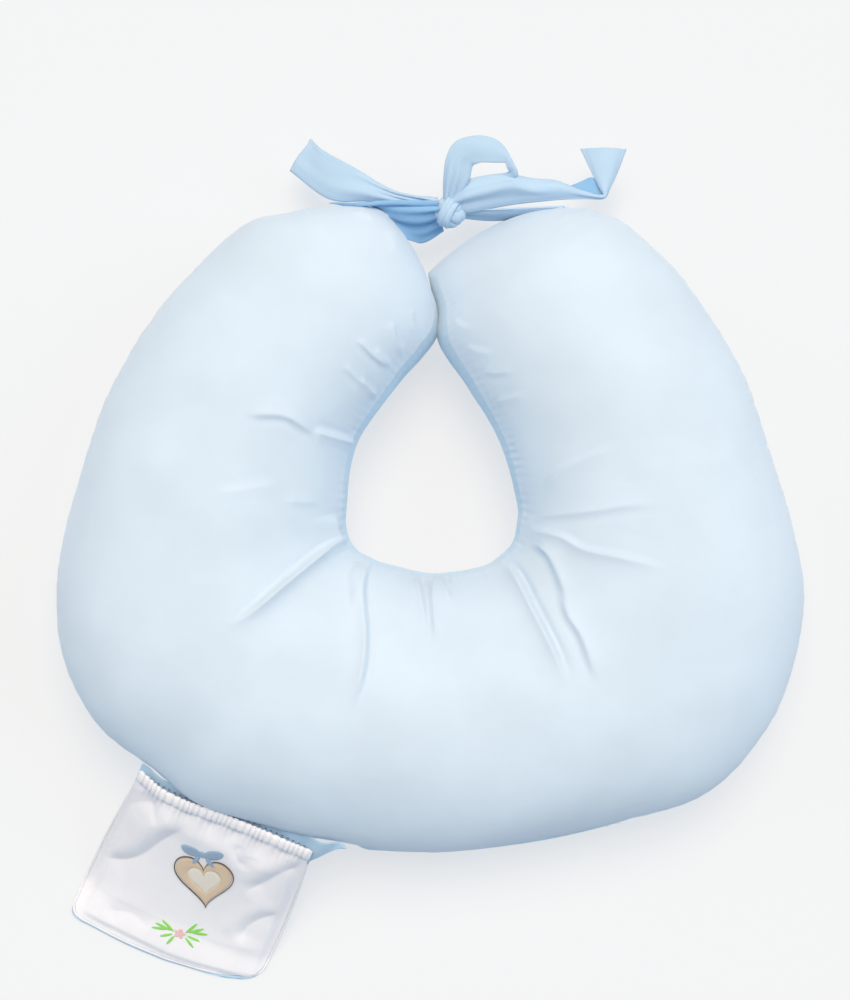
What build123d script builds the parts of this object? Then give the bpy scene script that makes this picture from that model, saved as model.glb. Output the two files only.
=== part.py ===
"""A horseshoe nursing pillow: a fibre filling in an inner casing, a removable outer cover with a
zip along its back, two cloth ties knotted between the tips of the arms, and a small elasticated
pouch sewn into the outer seam.

Millimetres. +Z is up. The pillow lies flat on Z = 0 and the arms point towards +Y. The origin
is the centre of the bounding box, at the surface that the pillow rests on. Cloth is modelled
with flat facets, so that one layer lies evenly inside the next.
"""

import math
import os
import warnings

from build123d import *

warnings.simplefilter("ignore")
os.makedirs("parts", exist_ok=True)

# ------------------------------------------------------------------ driving dimensions
COVER = 0.5  # thickness of the outer cover's cloth
CASING = 0.4  # thickness of the inner casing's cloth
EASE = 0.25  # room between one layer and the next
CASING_AT = COVER + EASE  # depth of the casing's outside below the cover's outside
FILLING_AT = CASING_AT + CASING + EASE  # depth of the filling

# The stuffed tube, from the tip of the left arm round the base to the tip of the right arm:
# inner edge x, y, outer edge x, y, half height and centre height of each elliptical section.
SECTIONS = [
    (-1, 214, -33, 273, 8, 61),
    (4, 199, -48, 280, 27, 61),
    (0, 180, -76, 281, 45, 60),
    (-9, 161, -112, 277, 61, 61),
    (-24, 140, -155, 259, 71, 64),
    (-60, 92, -239, 166, 78, 68),
    (-67, 42, -290, 36, 80, 70),
    (-66, 22, -299, -42, 80, 70),
    (-59, 7, -277, -124, 80, 70),
    (-48, 0, -228, -176, 80, 70),
    (-32, -6, -161, -213, 80, 70),
    (4, -12, 0, -234, 80, 70),
    (42, -6, 152, -210, 80, 70),
    (56, 2, 220, -180, 80, 70),
    (66, 12, 267, -122, 80, 70),
    (71, 28, 299, -50, 80, 70),
    (72, 46, 296, 14, 79, 69),
    (58, 94, 260, 138, 77, 67),
    (33, 136, 208, 216, 73, 65),
    (14, 172, 158, 262, 66, 62),
    (10, 198, 132, 276, 54, 60),
    (8, 216, 114, 281, 36, 60),
    (3, 232, 98, 282, 8, 61),
]
OUTER_SEAM_Z = 70  # height of the seam between the cover's two panels, round the outside
INNER_SEAM_Z = 100  # and round the waist
TOP_STEPS = 8  # facets across the top panel
SIDE_STEPS = 3  # facets down each side of the bottom panel

# The back edge of the base is an arc, and the zip follows it.
BACK_ARC_CENTRE = (-10, 336)
BACK_ARC_R = 570
BACK_HALF_WIDTH = 115
BACK_HALF_HEIGHT = 80
BACK_MIDDLE_Z = 70
ZIP_Z = 46
ZIP_START, ZIP_END = -4, 17  # degrees round the arc from straight back, towards +X
ZIP_SLIDER_AT = 16  # the slider's place when the zip is closed
TAPE_WIDTH = 12
TAPE_THICK = 0.5
TAPE_RISE = 4.2  # how far the middle of the zip stands off the cover
TAPE_EDGE_RISE = 1.6
TEETH_R = 0.9
TEETH_APART = 1.5  # from the middle of the zip to the centre of each row of teeth
SLIT = 7  # height of the slit in the cover behind the zip

# The pouch, sewn along the outer seam at the left of the base.
MOUTH_START = Vector(-232, -174, 0)
MOUTH_END = Vector(-94.5, -235, 0)
MOUTH_OUT = 9.5  # how far the hinge line stands off the line between the mouth's ends
POUCH_SLOPE = 33.5  # degrees below level, so that the pouch's end rests on the surface
POUCH_DEPTH = 122
POUCH_MOUTH_WIDTH = 150
POUCH_END_WIDTH = 158
POUCH_CORNER = 18
POUCH_CLOTH = 0.7
POUCH_ROOM = 0.4  # half of the gap between the front and the back
POUCH_SEAM = 2  # width of the bound edge
MOUTH_BAND = 11
MOUTH_BAND_THICK = 3.4

# The embroidery on the pouch.
THREAD = 0.6
MOTIF_AT = (3, -54)
SPRIGS_AT = (3, -98)

# The ties.
TIE = 1.2  # thickness of the doubled cloth
KNOT = (16, 278, 64)
KNOT_R = 10
KNOT_LENGTH = 21


def keep(piece, name):
    """Names a finished piece and writes its file."""
    piece.label = name
    export_step(piece, f"parts/{name}.step")


# ------------------------------------------------------------------ faceted cloth
def facets_solid(points, faces):
    """A solid from flat facets, each a loop of point numbers."""
    sides = []
    for face in faces:
        loop = []
        for number in face:
            if not loop or (points[number] - loop[-1]).length > 1e-6:
                loop.append(points[number])
        if (loop[0] - loop[-1]).length < 1e-6:
            loop.pop()
        sides.append(Face(Wire.make_polygon(loop, close=True)))
    solid = Solid(Shell(sides))
    return solid if solid.volume > 0 else Solid(solid.wrapped.Reversed())


def open_edges(faces):
    """The edges that only one facet uses, each in the direction that the facet runs."""
    used = set()
    for face in faces:
        for start, end in zip(face, face[1:] + face[:1]):
            used.add((start, end))
    return [edge for edge in used if (edge[1], edge[0]) not in used]


def between(near, far, faces):
    """A sheet of cloth between two matching sets of points."""
    count = len(near)
    sides = [list(face) for face in faces]
    sides += [[number + count for number in reversed(face)] for face in faces]
    for start, end in open_edges(faces):
        if start < end:
            sides += [[end, start, end + count], [start, start + count, end + count]]
        else:
            sides += [[end, start, start + count], [end, start + count, end + count]]
    return facets_solid(near + far, sides)


def grid_faces(rows, columns):
    """Triangles over a grid of points."""
    faces = []
    for row in range(rows - 1):
        for column in range(columns - 1):
            here = row * columns + column
            faces.append([here, here + 1, here + columns + 1])
            faces.append([here, here + columns + 1, here + columns])
    return faces


def ribbon(rows, thickness):
    """A folded strip of cloth through rows of points, with the same number in each row."""
    count, width = len(rows), len(rows[0])
    near, far = [], []
    for r, row in enumerate(rows):
        for c, point in enumerate(row):
            along = Vector(*rows[min(r + 1, count - 1)][c]) - Vector(*rows[max(r - 1, 0)][c])
            across = Vector(*row[min(c + 1, width - 1)]) - Vector(*row[max(c - 1, 0)])
            half = along.cross(across).normalized() * (thickness / 2)
            near.append(Vector(*point) + half)
            far.append(Vector(*point) - half)
    return between(near, far, grid_faces(count, width))


# ------------------------------------------------------------------ the stuffed tube
def middle_of(row):
    return Vector((row[0] + row[2]) / 2, (row[1] + row[3]) / 2, 0)


def tube_ring(number, depth):
    """One section's points at a depth below the cover, from the outer seam over the top."""
    row = SECTIONS[number]
    inner, outer = Vector(row[0], row[1], 0), Vector(row[2], row[3], 0)
    across = (outer - inner).normalized()
    middle = middle_of(row)
    if number in (0, len(SECTIONS) - 1):
        nearest = SECTIONS[1] if number == 0 else SECTIONS[-2]
        middle = middle + (middle_of(nearest) - middle).normalized() * depth
    half_width = (outer - inner).length / 2
    half_height, centre_z = row[4], row[5]

    def angle(height, most):
        return math.asin(max(-most, min(most, (height - centre_z) / half_height)))

    outer_seam = angle(OUTER_SEAM_Z, 0.5)
    inner_seam = math.pi - angle(INNER_SEAM_Z, 0.5)
    floor = angle(0, 0.94)
    angles = [outer_seam + (inner_seam - outer_seam) * k / TOP_STEPS for k in range(TOP_STEPS)]
    angles += [inner_seam + (math.pi - floor - inner_seam) * k / SIDE_STEPS for k in range(SIDE_STEPS)]
    angles.append(math.pi - floor)
    angles += [2 * math.pi + floor + (outer_seam - floor) * k / SIDE_STEPS for k in range(SIDE_STEPS)]
    ring = []
    for turn in angles:
        z = max(depth, centre_z + (half_height - depth) * math.sin(turn))
        ring.append(middle + across * ((half_width - depth) * math.cos(turn)) + Vector(0, 0, z))
    return ring


RING = TOP_STEPS + 2 * SIDE_STEPS + 1
LAST = len(SECTIONS) - 1


def tube_points(depth):
    points = []
    for number in range(len(SECTIONS)):
        points += tube_ring(number, depth)
    return points


def tube_faces(first, last):
    """Facets of the tube from one ring position to another, with the tips closed."""
    faces = []
    for section in range(LAST):
        for k in range(first, last):
            here, beside = section * RING + k % RING, section * RING + (k + 1) % RING
            faces.append([here, here + RING, beside + RING])
            faces.append([here, beside + RING, beside])
    ring = list(range(first, last + (0 if last - first == RING else 1)))
    faces.append([k % RING for k in ring])
    faces.append([LAST * RING + k % RING for k in reversed(ring)])
    return faces


TOP_FACES = tube_faces(0, TOP_STEPS)
BOTTOM_FACES = tube_faces(TOP_STEPS, RING)


def layer(depth, thickness, faces):
    """One panel of a bag that follows the tube."""
    return between(tube_points(depth), tube_points(depth + thickness), faces)


def flank_radius(z):
    """The radius of the base's back surface about the arc's centre, at a height."""
    share = (z - BACK_MIDDLE_Z) / BACK_HALF_HEIGHT
    return BACK_ARC_R - BACK_HALF_WIDTH * (1 - math.sqrt(1 - share * share))


ARC_AXIS = Axis((*BACK_ARC_CENTRE, 0), (0, 0, 1))


def back_plane(degrees):
    """The upright plane through the back arc's centre, with local X outwards and local Y up."""
    turn = math.radians(degrees)
    outwards = Vector(math.sin(turn), -math.cos(turn), 0)
    return Plane(origin=(*BACK_ARC_CENTRE, 0), x_dir=outwards, z_dir=outwards.cross(Vector(0, 0, 1)))


def back_sweep(points, start, end):
    """A closed outline of (radius, height) points swept along the back arc."""
    with BuildPart() as swept:
        with BuildSketch(back_plane(start)):
            with BuildLine():
                Polyline(*points, close=True)
            make_face()
        revolve(axis=ARC_AXIS, revolution_arc=end - start)
    return swept.part


with BuildPart() as fibre_filling:
    add(facets_solid(tube_points(FILLING_AT), tube_faces(0, RING)))
keep(fibre_filling.part, "fibre_filling")

with BuildPart() as casing_top_panel:
    add(layer(CASING_AT, CASING, TOP_FACES))
keep(casing_top_panel.part, "casing_top_panel")

with BuildPart() as casing_bottom_panel:
    add(layer(CASING_AT, CASING, BOTTOM_FACES))
keep(casing_bottom_panel.part, "casing_bottom_panel")

with BuildPart() as cover_top_panel:
    add(layer(0, COVER, TOP_FACES))
keep(cover_top_panel.part, "cover_top_panel")

SLIT_LOW, SLIT_HIGH = ZIP_Z - SLIT / 2, ZIP_Z + SLIT / 2
SLIT_NEAR, SLIT_FAR = BACK_ARC_R - 30, BACK_ARC_R + 10
with BuildPart() as cover_bottom_panel:
    add(layer(0, COVER, BOTTOM_FACES))
    add(
        back_sweep(
            [(SLIT_NEAR, SLIT_LOW), (SLIT_FAR, SLIT_LOW), (SLIT_FAR, SLIT_HIGH), (SLIT_NEAR, SLIT_HIGH)],
            ZIP_START,
            ZIP_END,
        ),
        mode=Mode.SUBTRACT,
    )
keep(cover_bottom_panel.part, "cover_bottom_panel")


# ------------------------------------------------------------------ the zip
ZIP_LEAN = (flank_radius(ZIP_Z + 5) - flank_radius(ZIP_Z - 5)) / 10


def zip_point(along, out):
    """(radius, height) of a point of the zip: along is up the flank from its middle."""
    share = min(1, abs(along) / TAPE_WIDTH)
    rise = TAPE_RISE + (TAPE_EDGE_RISE - TAPE_RISE) * share
    return flank_radius(ZIP_Z) + along * ZIP_LEAN + rise + out, ZIP_Z + along


def tape(low, high):
    return back_sweep(
        [zip_point(low, 0), zip_point(high, 0), zip_point(high, TAPE_THICK), zip_point(low, TAPE_THICK)],
        ZIP_START,
        ZIP_END,
    )


TAPE_EDGE = TEETH_APART + TEETH_R + 0.02
with BuildPart() as zip_tape_upper:
    add(tape(TAPE_EDGE, TAPE_WIDTH))
keep(zip_tape_upper.part, "zip_tape_upper")

with BuildPart() as zip_tape_lower:
    add(tape(-TAPE_WIDTH, -TAPE_EDGE))
keep(zip_tape_lower.part, "zip_tape_lower")


def teeth(along):
    """One row of teeth, as the smooth bead that encloses them."""
    with BuildPart() as row:
        with BuildSketch(back_plane(ZIP_START + 0.4)):
            with Locations(zip_point(along, TAPE_THICK / 2)):
                Circle(TEETH_R)
        revolve(axis=ARC_AXIS, revolution_arc=ZIP_END - ZIP_START - 0.8)
    return row.part


with BuildPart() as zip_teeth_upper:
    add(teeth(TEETH_APART))
keep(zip_teeth_upper.part, "zip_teeth_upper")

with BuildPart() as zip_teeth_lower:
    add(teeth(-TEETH_APART))
keep(zip_teeth_lower.part, "zip_teeth_lower")


def zip_block(low, high, near, far, start, end):
    """A small block round the arc, between two places up the flank and two heights off the tape."""
    base = zip_point(0, 0)[0]
    return back_sweep(
        [
            (base + near + low * ZIP_LEAN, ZIP_Z + low),
            (base + near + high * ZIP_LEAN, ZIP_Z + high),
            (base + far + high * ZIP_LEAN, ZIP_Z + high),
            (base + far + low * ZIP_LEAN, ZIP_Z + low),
        ],
        start,
        end,
    )


STOP_DEGREES = 0.28
STOP_NEAR = TAPE_THICK + 0.05
BOTTOM_STOP_AT = ZIP_START + 0.05
TOP_STOP_AT = ZIP_END - 0.05 - STOP_DEGREES
with BuildPart() as zip_bottom_stop:
    add(zip_block(-3.4, 3.4, STOP_NEAR, STOP_NEAR + 1.2, BOTTOM_STOP_AT, BOTTOM_STOP_AT + STOP_DEGREES))
keep(zip_bottom_stop.part, "zip_bottom_stop")

with BuildPart() as zip_top_stop:
    add(zip_block(-3.4, 3.4, STOP_NEAR, STOP_NEAR + 1.2, TOP_STOP_AT, TOP_STOP_AT + STOP_DEGREES))
keep(zip_top_stop.part, "zip_top_stop")

SLIDER_HALF = 0.55  # degrees
PLATE = 0.9
ABOVE = TAPE_THICK / 2 + TEETH_R + 0.5
PULL_LENGTH, PULL_WIDTH, PULL_THICK = 22, 7, 1.2
PIN_R, PIN_ROOM = 0.6, 0.06
PIN_OFF = 1.8  # from the slider's plate out to the pull's pin
EAR_NEAR, EAR_FAR, EAR_HALF = 3.8, 4.9, 1.6
PULL_TURN = math.radians(ZIP_SLIDER_AT)
PULL_OUT = Vector(math.sin(PULL_TURN), -math.cos(PULL_TURN), 0)
PULL_ALONG = Vector(math.cos(PULL_TURN), math.sin(PULL_TURN), 0)
PULL_RADIUS = zip_point(0, ABOVE + PLATE + PIN_OFF)[0]
PULL_PIVOT = Vector(*BACK_ARC_CENTRE, ZIP_Z) + PULL_OUT * PULL_RADIUS
EAR_PLANE = Plane(origin=PULL_PIVOT, x_dir=PULL_OUT, z_dir=PULL_ALONG)

# The slider's plate has two ears, and the pull's pin turns in them.
with BuildPart() as zip_slider:
    add(zip_block(-3.8, 3.8, ABOVE, ABOVE + PLATE, ZIP_SLIDER_AT - SLIDER_HALF, ZIP_SLIDER_AT + SLIDER_HALF))
    for ear_at in (-EAR_FAR, EAR_NEAR):
        with BuildSketch(EAR_PLANE.offset(ear_at)):
            with Locations(((EAR_HALF - PIN_OFF) / 2 - 0.1, 0)):
                Rectangle(EAR_HALF + PIN_OFF + 0.2, 2 * EAR_HALF)
        extrude(amount=EAR_FAR - EAR_NEAR)
    with BuildSketch(EAR_PLANE.offset(-EAR_FAR - 1)):
        Circle(PIN_R + PIN_ROOM)
    extrude(amount=2 * EAR_FAR + 2, mode=Mode.SUBTRACT)
keep(zip_slider.part, "zip_slider")

with BuildPart() as zip_pull:
    with BuildSketch(Plane(origin=PULL_PIVOT, x_dir=PULL_ALONG, z_dir=PULL_OUT)):
        with Locations((0, -PULL_LENGTH / 2)):
            Rectangle(PULL_WIDTH, PULL_LENGTH)
        with Locations((0, 5 - PULL_LENGTH)):
            Circle(1.7, mode=Mode.SUBTRACT)
    extrude(amount=PULL_THICK / 2, both=True)
    with BuildSketch(EAR_PLANE.offset(-EAR_FAR)):
        Circle(PIN_R)
    extrude(amount=2 * EAR_FAR)
keep(zip_pull.part, "zip_pull")
print("pull pivot", tuple(PULL_PIVOT), "along", tuple(PULL_ALONG))

# ------------------------------------------------------------------ the pouch
MOUTH = (MOUTH_END - MOUTH_START).normalized()
OUT = MOUTH.cross(Vector(0, 0, 1))
HINGE = (MOUTH_START + MOUTH_END) * 0.5 + OUT * MOUTH_OUT + Vector(0, 0, OUTER_SEAM_Z)
slope = math.radians(POUCH_SLOPE)
UP_SLOPE = OUT * -math.cos(slope) + Vector(0, 0, math.sin(slope))
NORMAL = MOUTH.cross(UP_SLOPE)
POUCH = Plane(origin=HINGE, x_dir=MOUTH, z_dir=NORMAL)
print("hinge", tuple(HINGE), "axis", tuple(MOUTH * -1), "normal", tuple(NORMAL))


def pouch_outline(top, extra=0):
    """The pouch's outline below a line across its mouth, in the open sketch."""
    def half(down):
        return (POUCH_MOUTH_WIDTH + (POUCH_END_WIDTH - POUCH_MOUTH_WIDTH) * down / POUCH_DEPTH) / 2 + extra

    end = POUCH_DEPTH + extra
    corners = [(-half(-top), top), (half(-top), top), (half(end), -end), (-half(end), -end)]
    with BuildSketch(mode=Mode.PRIVATE) as outline:
        Polygon(*corners, align=None)
        low = outline.vertices().sort_by(Axis.Y)[0:2]
        fillet(low, POUCH_CORNER + extra)
    return outline.sketch


def pouch_slab(sketch, low, high):
    """An outline on the pouch's plane, extruded between two heights off it."""
    with BuildPart() as slab:
        with BuildSketch(POUCH.offset(low)):
            add(sketch)
        extrude(amount=high - low)
    return slab.part


with BuildPart() as pouch_back_panel:
    add(pouch_slab(pouch_outline(-1), -POUCH_ROOM - POUCH_CLOTH, -POUCH_ROOM))
keep(pouch_back_panel.part, "pouch_back_panel")

with BuildPart() as pouch_front_panel:
    add(pouch_slab(pouch_outline(-MOUTH_BAND - 1.5), POUCH_ROOM, POUCH_ROOM + POUCH_CLOTH))
keep(pouch_front_panel.part, "pouch_front_panel")

with BuildSketch() as seam_outline:
    add(pouch_outline(-MOUTH_BAND - 1.5, POUCH_SEAM))
    add(pouch_outline(-MOUTH_BAND + 5), mode=Mode.SUBTRACT)
with BuildPart() as pouch_edge_binding:
    add(pouch_slab(seam_outline.sketch, -POUCH_ROOM - POUCH_CLOTH, POUCH_ROOM + POUCH_CLOTH))
keep(pouch_edge_binding.part, "pouch_edge_binding")

BAND_LENGTH = POUCH_MOUTH_WIDTH - 1
BAND_Z = POUCH_ROOM + MOUTH_BAND_THICK / 2
BAND_PLANE = Plane(
    origin=POUCH.from_local_coords(Vector(-BAND_LENGTH / 2, -1 - MOUTH_BAND / 2, BAND_Z)),
    x_dir=UP_SLOPE,
    z_dir=MOUTH,
)
with BuildPart() as pouch_mouth_band:
    with BuildSketch(BAND_PLANE):
        SlotOverall(MOUTH_BAND, MOUTH_BAND_THICK)
        SlotOverall(MOUTH_BAND - 1.2, MOUTH_BAND_THICK - 1.2, mode=Mode.SUBTRACT)
    extrude(amount=BAND_LENGTH)
keep(pouch_mouth_band.part, "pouch_mouth_band")

with BuildPart() as pouch_elastic:
    with BuildSketch(BAND_PLANE.offset(2)):
        Rectangle(7, 1)
    extrude(amount=BAND_LENGTH - 4)
keep(pouch_elastic.part, "pouch_elastic")


# ------------------------------------------------------------------ the embroidery
def heart(size):
    """A heart in the open sketch, from two round lobes and the lines down to its point."""
    with BuildSketch(mode=Mode.PRIVATE) as shape:
        with Locations((-0.24 * size, 0.14 * size), (0.24 * size, 0.14 * size)):
            Circle(0.27 * size)
        Polygon((-0.472 * size, 0), (0, -0.5 * size), (0.472 * size, 0), (0, 0.26 * size), align=None)
    return shape.sketch


def stitched(sketch, place):
    """Thread worked on the front of the pouch."""
    low = POUCH_ROOM + POUCH_CLOTH + 0.05
    plane = Plane(origin=POUCH.from_local_coords(Vector(*place, low)), x_dir=MOUTH, z_dir=NORMAL)
    with BuildPart() as thread:
        with BuildSketch(plane):
            add(sketch)
        extrude(amount=THREAD)
    return thread.part


HEART, RIM, CENTRE = 44, 1.6, 22
with BuildSketch() as rim:
    add(heart(HEART))
    offset(amount=RIM)
    add(heart(HEART), mode=Mode.SUBTRACT)
with BuildPart() as motif_outline:
    add(stitched(rim.sketch, MOTIF_AT))
keep(motif_outline.part, "motif_outline")

with BuildSketch() as tan:
    add(heart(HEART))
    add(heart(CENTRE), mode=Mode.SUBTRACT)
with BuildPart() as motif_heart:
    add(stitched(tan.sketch, MOTIF_AT))
keep(motif_heart.part, "motif_heart")

with BuildPart() as motif_heart_centre:
    add(stitched(heart(CENTRE), MOTIF_AT))
keep(motif_heart_centre.part, "motif_heart_centre")

with BuildSketch() as bow:
    Circle(2.6)
    Polygon((0, 0), (-11, 6), (-12, -5), align=None)
    Polygon((0, 0), (11, 6), (12, -5), align=None)
with BuildPart() as motif_bow:
    add(stitched(bow.sketch, (MOTIF_AT[0], MOTIF_AT[1] + 30)))
keep(motif_bow.part, "motif_bow")

with BuildSketch() as sprigs:
    with Locations((0, -8)):
        Rectangle(36, 1.2)
    for stem_x in (-14, 0, 14):
        with Locations((stem_x, 0)):
            Rectangle(1.2, 16)
        for leaf_y in (-4, 1, 6):
            with Locations(Location((stem_x - 3, leaf_y, 0), 30), Location((stem_x + 3, leaf_y, 0), 150)):
                Ellipse(3.2, 1.4)
with BuildPart() as motif_sprigs:
    add(stitched(sprigs.sketch, SPRIGS_AT))
keep(motif_sprigs.part, "motif_sprigs")

with BuildSketch() as petals:
    Circle(1.4)
    with PolarLocations(2.2, 5):
        Circle(1.5)
with BuildPart() as motif_flower:
    add(stitched(petals.sketch, (SPRIGS_AT[0] + 7, SPRIGS_AT[1] + 12)))
keep(motif_flower.part, "motif_flower")

# ------------------------------------------------------------------ the ties
with BuildPart(Plane(origin=KNOT, x_dir=(0, 0, 1), z_dir=(0.94, -0.34, 0))) as tie_knot:
    Cylinder(KNOT_R, KNOT_LENGTH)
    fillet(tie_knot.edges().filter_by(GeomType.CIRCLE), 6)
keep(tie_knot.part, "tie_knot")

with BuildPart() as left_tie_strap:
    add(
        ribbon(
            [
                [(-31, 277, 68), (-21, 266, 66), (-12, 254, 57)],
                [(-14, 282, 72), (-9, 272, 70), (-4, 259, 58)],
                [(2, 287, 69), (2.5, 279, 69), (3.5, 269, 60)],
            ],
            TIE,
        )
    )
keep(left_tie_strap.part, "left_tie_strap")

with BuildPart() as left_tie_tail:
    add(
        ribbon(
            [
                [(5, 291, 62), (4, 290, 70)],
                [(-26, 287, 57), (-27, 296, 64)],
                [(-54, 287, 48), (-60, 315, 54)],
                [(-82, 286, 36), (-77, 325, 40)],
                [(-109, 306, 22), (-93, 334.6, 24)],
            ],
            TIE,
        )
    )
keep(left_tie_tail.part, "left_tie_tail")

with BuildPart() as right_tie_strap:
    add(
        ribbon(
            [
                [(28.5, 276, 56), (28.5, 277, 70)],
                [(60, 277, 52), (60, 279, 70)],
                [(100, 284.5, 50), (100, 284.5, 70)],
            ],
            TIE,
        )
    )
keep(right_tie_strap.part, "right_tie_strap")

with BuildPart() as right_tie_tail:
    add(
        ribbon(
            [
                [(30, 285, 73), (27, 292, 72)],
                [(50, 286, 73), (50, 302, 73)],
                [(75, 287, 72), (75, 301, 72)],
                [(99, 287, 68), (99, 301, 68)],
                [(124, 288, 60), (124, 297, 62)],
                [(140, 288, 54), (136, 296, 56)],
                [(146, 305, 50), (131, 308, 50)],
                [(157, 328, 44), (121, 328, 44)],
            ],
            TIE,
        )
    )
keep(right_tie_tail.part, "right_tie_tail")

with BuildPart() as right_tie_loop:
    add(
        ribbon(
            [
                [(12, 290, 68), (21, 290, 76)],
                [(13, 304, 80), (30, 300, 84)],
                [(19, 324, 88), (36, 313, 90)],
                [(36, 334, 90), (44, 315, 92)],
                [(56, 333, 88), (54, 314, 90)],
                [(69, 318, 82), (60, 310, 84)],
                [(68, 306, 78), (59, 300, 79)],
                [(50, 305, 76), (48, 294, 76.5)],
                [(34, 298, 75), (34, 290, 75)],
            ],
            TIE,
        )
    )
keep(right_tie_loop.part, "right_tie_loop")
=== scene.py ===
"""The looks of the horseshoe nursing pillow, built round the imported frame. Lengths are in
millimetres in the tables and shape functions, and in metres in the meshes, floor and camera."""

import math

import bpy
import numpy as np
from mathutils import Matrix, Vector, noise


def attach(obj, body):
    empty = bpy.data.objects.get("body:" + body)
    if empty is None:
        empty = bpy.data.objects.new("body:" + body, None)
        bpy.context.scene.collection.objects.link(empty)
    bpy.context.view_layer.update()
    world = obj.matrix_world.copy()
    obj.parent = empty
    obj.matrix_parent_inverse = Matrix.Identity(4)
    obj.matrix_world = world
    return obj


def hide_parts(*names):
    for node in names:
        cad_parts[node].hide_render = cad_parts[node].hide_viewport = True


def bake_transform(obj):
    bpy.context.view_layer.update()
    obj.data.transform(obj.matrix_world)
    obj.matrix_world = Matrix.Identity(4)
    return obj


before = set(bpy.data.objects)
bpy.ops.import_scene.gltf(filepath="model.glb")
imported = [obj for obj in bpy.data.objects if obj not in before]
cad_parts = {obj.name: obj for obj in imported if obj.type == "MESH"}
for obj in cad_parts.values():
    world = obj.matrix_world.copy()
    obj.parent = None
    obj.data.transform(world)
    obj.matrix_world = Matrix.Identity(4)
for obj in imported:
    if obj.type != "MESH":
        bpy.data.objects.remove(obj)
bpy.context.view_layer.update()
MM = 0.001

# -------- the pillow's sections
# Inner edge x, y, outer edge x, y, half height and centre height, from tip to tip. They follow the
# CAD's sections to within a few millimetres, with the two tips pressed together.
SECTIONS = np.array([
    (1, 216, -33, 273, 48, 64),
    (7, 199, -48, 280, 50, 64),
    (6, 178, -76, 281, 54, 63),
    (-6, 160, -112, 277, 63, 63),
    (-24, 140, -157, 260, 71, 64),
    (-58, 92, -238, 166, 78, 68),
    (-66, 42, -287, 36, 80, 70),
    (-66, 22, -298, -50, 80, 70),
    (-59, 7, -273, -122, 80, 70),
    (-48, 0, -221, -168, 80, 70),
    (-32, -6, -160, -206, 80, 70),
    (4, -12, 0, -234, 80, 70),
    (42, -6, 152, -210, 80, 70),
    (56, 2, 224, -184, 80, 70),
    (66, 12, 274, -127, 80, 70),
    (70, 28, 297, -51, 80, 70),
    (70, 46, 292, 14, 79, 69),
    (56, 94, 254, 135, 77, 67),
    (32, 136, 208, 216, 73, 65),
    (8, 171, 160, 264, 66, 62),
    (6, 197, 133, 277, 58, 59),
    (2, 214, 114, 281, 52, 58),
    (-1, 229, 98, 282, 48, 58),
], float)
OUTER_SEAM_Z = 70  # height of the seam between the cover's two panels, round the outside
INNER_SEAM_Z = 90  # and round the waist
OUTER_SEAM_MOST, INNER_SEAM_MOST = 0.3, 0.45  # how far from a ring's middle, of its half height
NOSE = 50  # how far back from each tip the tube is rounded off
TIP_BULGE = 9  # how far the end face of the last tip stands out
FIRST_TIP_BULGE = -0.5  # the first tip's, as a share of that
TIP_CROWDING = 0.035  # how much closer together the rows are at the tips
ROWS, TOP_COLUMNS, BOTTOM_COLUMNS = 700, 104, 76
INSIDE_ROWS, INSIDE_TOP, INSIDE_BOTTOM = 150, 28, 24
CASING_DEPTH, FILLING_DEPTH = 11.0, 13.0  # below the cover
FLOOR_ROUND = 5  # how softly the underside flattens on the floor
FLOOR_PRESS = 0.35  # how far it is let down after that
LOWEST = 0.05  # height that the creased cover is kept above

# Beside the cover's two seams: the pitch, height and reach of the gathers, and the depth and half
# width of the seam's groove.
WAIST_PITCH, WAIST_HEIGHT, WAIST_REACH, WAIST_GROOVE, WAIST_GROOVE_WIDTH = 6.5, 0.5, 9, 0.55, 2.6
OUTER_PITCH, OUTER_HEIGHT, OUTER_REACH, OUTER_GROOVE, OUTER_GROOVE_WIDTH = 16.0, 0.25, 12, 0.9, 2.4
LUMP_SIZE, LUMP_HEIGHT = 90.0, 1.8  # slow unevenness of the filling
CALM_TIPS = 45  # how far from each tip the waist's gathers reach full strength

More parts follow.
